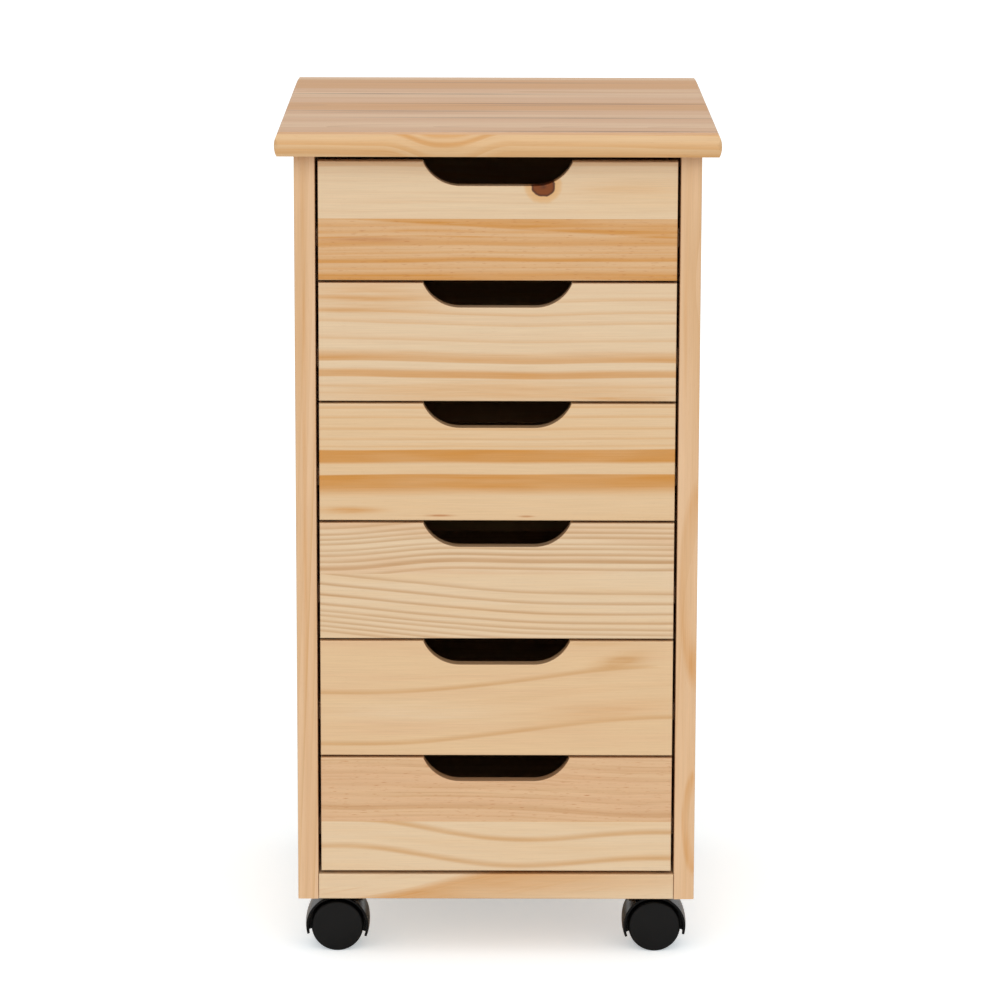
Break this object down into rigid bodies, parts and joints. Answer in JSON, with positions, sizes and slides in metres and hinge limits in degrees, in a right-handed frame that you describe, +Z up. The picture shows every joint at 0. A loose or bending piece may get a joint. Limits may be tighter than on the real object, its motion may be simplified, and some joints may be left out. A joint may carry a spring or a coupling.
{
  "type": "rolling drawer cart",
  "caption": "Narrow pine cart on swivel casters, with a stack of equal inset drawers that slide on wooden runners and are pulled by a finger grip cut in each front.",
  "frame": {"origin": "on the floor under the middle of the top board", "axes": "+X to the right seen from the front, +Y to the back, +Z up"},
  "size_m": [0.3306, 0.38, 0.641],
  "materials": {
    "beech": "unfinished",
    "hood_plastic": "satin black",
    "pine_base_board": "clear satin finish",
    "pine_drawer_1_front": "clear satin finish",
    "pine_drawer_2_front": "clear satin finish",
    "pine_drawer_3_front": "clear satin finish",
    "pine_drawer_4_front": "clear satin finish",
    "pine_drawer_5_front": "clear satin finish",
    "pine_drawer_6_front": "clear satin finish",
    "pine_drawer_box": "clear satin finish",
    "pine_left_side_panel": "clear satin finish",
    "pine_right_side_panel": "clear satin finish",
    "pine_top_board": "clear satin finish",
    "plywood": "unfinished",
    "wheel_plastic": "satin black",
    "zinc_steel": "zinc plated"
  },
  "bodies": {
    "carcass": {"back_panel": "plywood", "back_panel_nails": "zinc_steel", "base_board": "pine_base_board", "cam_bolts": "zinc_steel", "cam_discs": "zinc_steel", "caster_plate_screws": "zinc_steel", "caster_plates": "zinc_steel", "caster_stems": "zinc_steel", "drawer_runners": "beech", "joint_dowels": "beech", "left_side_panel": "pine_left_side_panel", "right_side_panel": "pine_right_side_panel", "runner_screws": "zinc_steel", "top_board": "pine_top_board"},
    "drawer_1": {"drawer_1_front": "pine_drawer_1_front", "drawer_1_left_side": "pine_drawer_box", "drawer_1_right_side": "pine_drawer_box", "drawer_1_back": "pine_drawer_box", "drawer_1_bottom": "plywood"},
    "drawer_2": {"drawer_2_front": "pine_drawer_2_front", "drawer_2_left_side": "pine_drawer_box", "drawer_2_right_side": "pine_drawer_box", "drawer_2_back": "pine_drawer_box", "drawer_2_bottom": "plywood"},
    "drawer_3": {"drawer_3_front": "pine_drawer_3_front", "drawer_3_left_side": "pine_drawer_box", "drawer_3_right_side": "pine_drawer_box", "drawer_3_back": "pine_drawer_box", "drawer_3_bottom": "plywood"},
    "drawer_4": {"drawer_4_front": "pine_drawer_4_front", "drawer_4_left_side": "pine_drawer_box", "drawer_4_right_side": "pine_drawer_box", "drawer_4_back": "pine_drawer_box", "drawer_4_bottom": "plywood"},
    "drawer_5": {"drawer_5_front": "pine_drawer_5_front", "drawer_5_left_side": "pine_drawer_box", "drawer_5_right_side": "pine_drawer_box", "drawer_5_back": "pine_drawer_box", "drawer_5_bottom": "plywood"},
    "drawer_6": {"drawer_6_front": "pine_drawer_6_front", "drawer_6_left_side": "pine_drawer_box", "drawer_6_right_side": "pine_drawer_box", "drawer_6_back": "pine_drawer_box", "drawer_6_bottom": "plywood"},
    "front_left_caster": {"front_left_caster_hood": "hood_plastic", "front_left_caster_axle": "zinc_steel"},
    "front_left_caster_front_wheel": {"front_left_caster_front_wheel": "wheel_plastic"},
    "front_left_caster_rear_wheel": {"front_left_caster_rear_wheel": "wheel_plastic"},
    "front_right_caster": {"front_right_caster_hood": "hood_plastic", "front_right_caster_axle": "zinc_steel"},
    "front_right_caster_front_wheel": {"front_right_caster_front_wheel": "wheel_plastic"},
    "front_right_caster_rear_wheel": {"front_right_caster_rear_wheel": "wheel_plastic"},
    "rear_left_caster": {"rear_left_caster_hood": "hood_plastic", "rear_left_caster_axle": "zinc_steel"},
    "rear_left_caster_front_wheel": {"rear_left_caster_front_wheel": "wheel_plastic"},
    "rear_left_caster_rear_wheel": {"rear_left_caster_rear_wheel": "wheel_plastic"},
    "rear_right_caster": {"rear_right_caster_hood": "hood_plastic", "rear_right_caster_axle": "zinc_steel"},
    "rear_right_caster_front_wheel": {"rear_right_caster_front_wheel": "wheel_plastic"},
    "rear_right_caster_rear_wheel": {"rear_right_caster_rear_wheel": "wheel_plastic"}
  },
  "joints": [
    {"name": "drawer_1_slide", "type": "slide", "parent": "carcass", "child": "drawer_1", "axis": [0, -1, 0], "range_m": [0, 0.25]},
    {"name": "drawer_2_slide", "type": "slide", "parent": "carcass", "child": "drawer_2", "axis": [0, -1, 0], "range_m": [0, 0.25]},
    {"name": "drawer_3_slide", "type": "slide", "parent": "carcass", "child": "drawer_3", "axis": [0, -1, 0], "range_m": [0, 0.25]},
    {"name": "drawer_4_slide", "type": "slide", "parent": "carcass", "child": "drawer_4", "axis": [0, -1, 0], "range_m": [0, 0.25]},
    {"name": "drawer_5_slide", "type": "slide", "parent": "carcass", "child": "drawer_5", "axis": [0, -1, 0], "range_m": [0, 0.25]},
    {"name": "drawer_6_slide", "type": "slide", "parent": "carcass", "child": "drawer_6", "axis": [0, -1, 0], "range_m": [0, 0.25]},
    {"name": "front_left_swivel", "type": "hinge", "parent": "carcass", "child": "front_left_caster", "pos_m": [-0.10955, -0.128, 0.0487], "axis": [0, 0, 1], "continuous": true},
    {"name": "front_left_front_wheel_spin", "type": "hinge", "parent": "front_left_caster", "child": "front_left_caster_front_wheel", "pos_m": [-0.12255, -0.128, 0.02], "axis": [0, 1, 0], "continuous": true},
    {"name": "front_left_rear_wheel_spin", "type": "hinge", "parent": "front_left_caster", "child": "front_left_caster_rear_wheel", "pos_m": [-0.12255, -0.128, 0.02], "axis": [0, 1, 0], "continuous": true},
    {"name": "front_right_swivel", "type": "hinge", "parent": "carcass", "child": "front_right_caster", "pos_m": [0.10955, -0.128, 0.0487], "axis": [0, 0, 1], "continuous": true},
    {"name": "front_right_front_wheel_spin", "type": "hinge", "parent": "front_right_caster", "child": "front_right_caster_front_wheel", "pos_m": [0.12255, -0.128, 0.02], "axis": [0, 1, 0], "continuous": true},
    {"name": "front_right_rear_wheel_spin", "type": "hinge", "parent": "front_right_caster", "child": "front_right_caster_rear_wheel", "pos_m": [0.12255, -0.128, 0.02], "axis": [0, 1, 0], "continuous": true},
    {"name": "rear_left_swivel", "type": "hinge", "parent": "carcass", "child": "rear_left_caster", "pos_m": [-0.10955, 0.142, 0.0487], "axis": [0, 0, 1], "continuous": true},
    {"name": "rear_left_front_wheel_spin", "type": "hinge", "parent": "rear_left_caster", "child": "rear_left_caster_front_wheel", "pos_m": [-0.12255, 0.142, 0.02], "axis": [0, 1, 0], "continuous": true},
    {"name": "rear_left_rear_wheel_spin", "type": "hinge", "parent": "rear_left_caster", "child": "rear_left_caster_rear_wheel", "pos_m": [-0.12255, 0.142, 0.02], "axis": [0, 1, 0], "continuous": true},
    {"name": "rear_right_swivel", "type": "hinge", "parent": "carcass", "child": "rear_right_caster", "pos_m": [0.10955, 0.142, 0.0487], "axis": [0, 0, 1], "continuous": true},
    {"name": "rear_right_front_wheel_spin", "type": "hinge", "parent": "rear_right_caster", "child": "rear_right_caster_front_wheel", "pos_m": [0.12255, 0.142, 0.02], "axis": [0, 1, 0], "continuous": true},
    {"name": "rear_right_rear_wheel_spin", "type": "hinge", "parent": "rear_right_caster", "child": "rear_right_caster_rear_wheel", "pos_m": [0.12255, 0.142, 0.02], "axis": [0, 1, 0], "continuous": true}
  ]
}
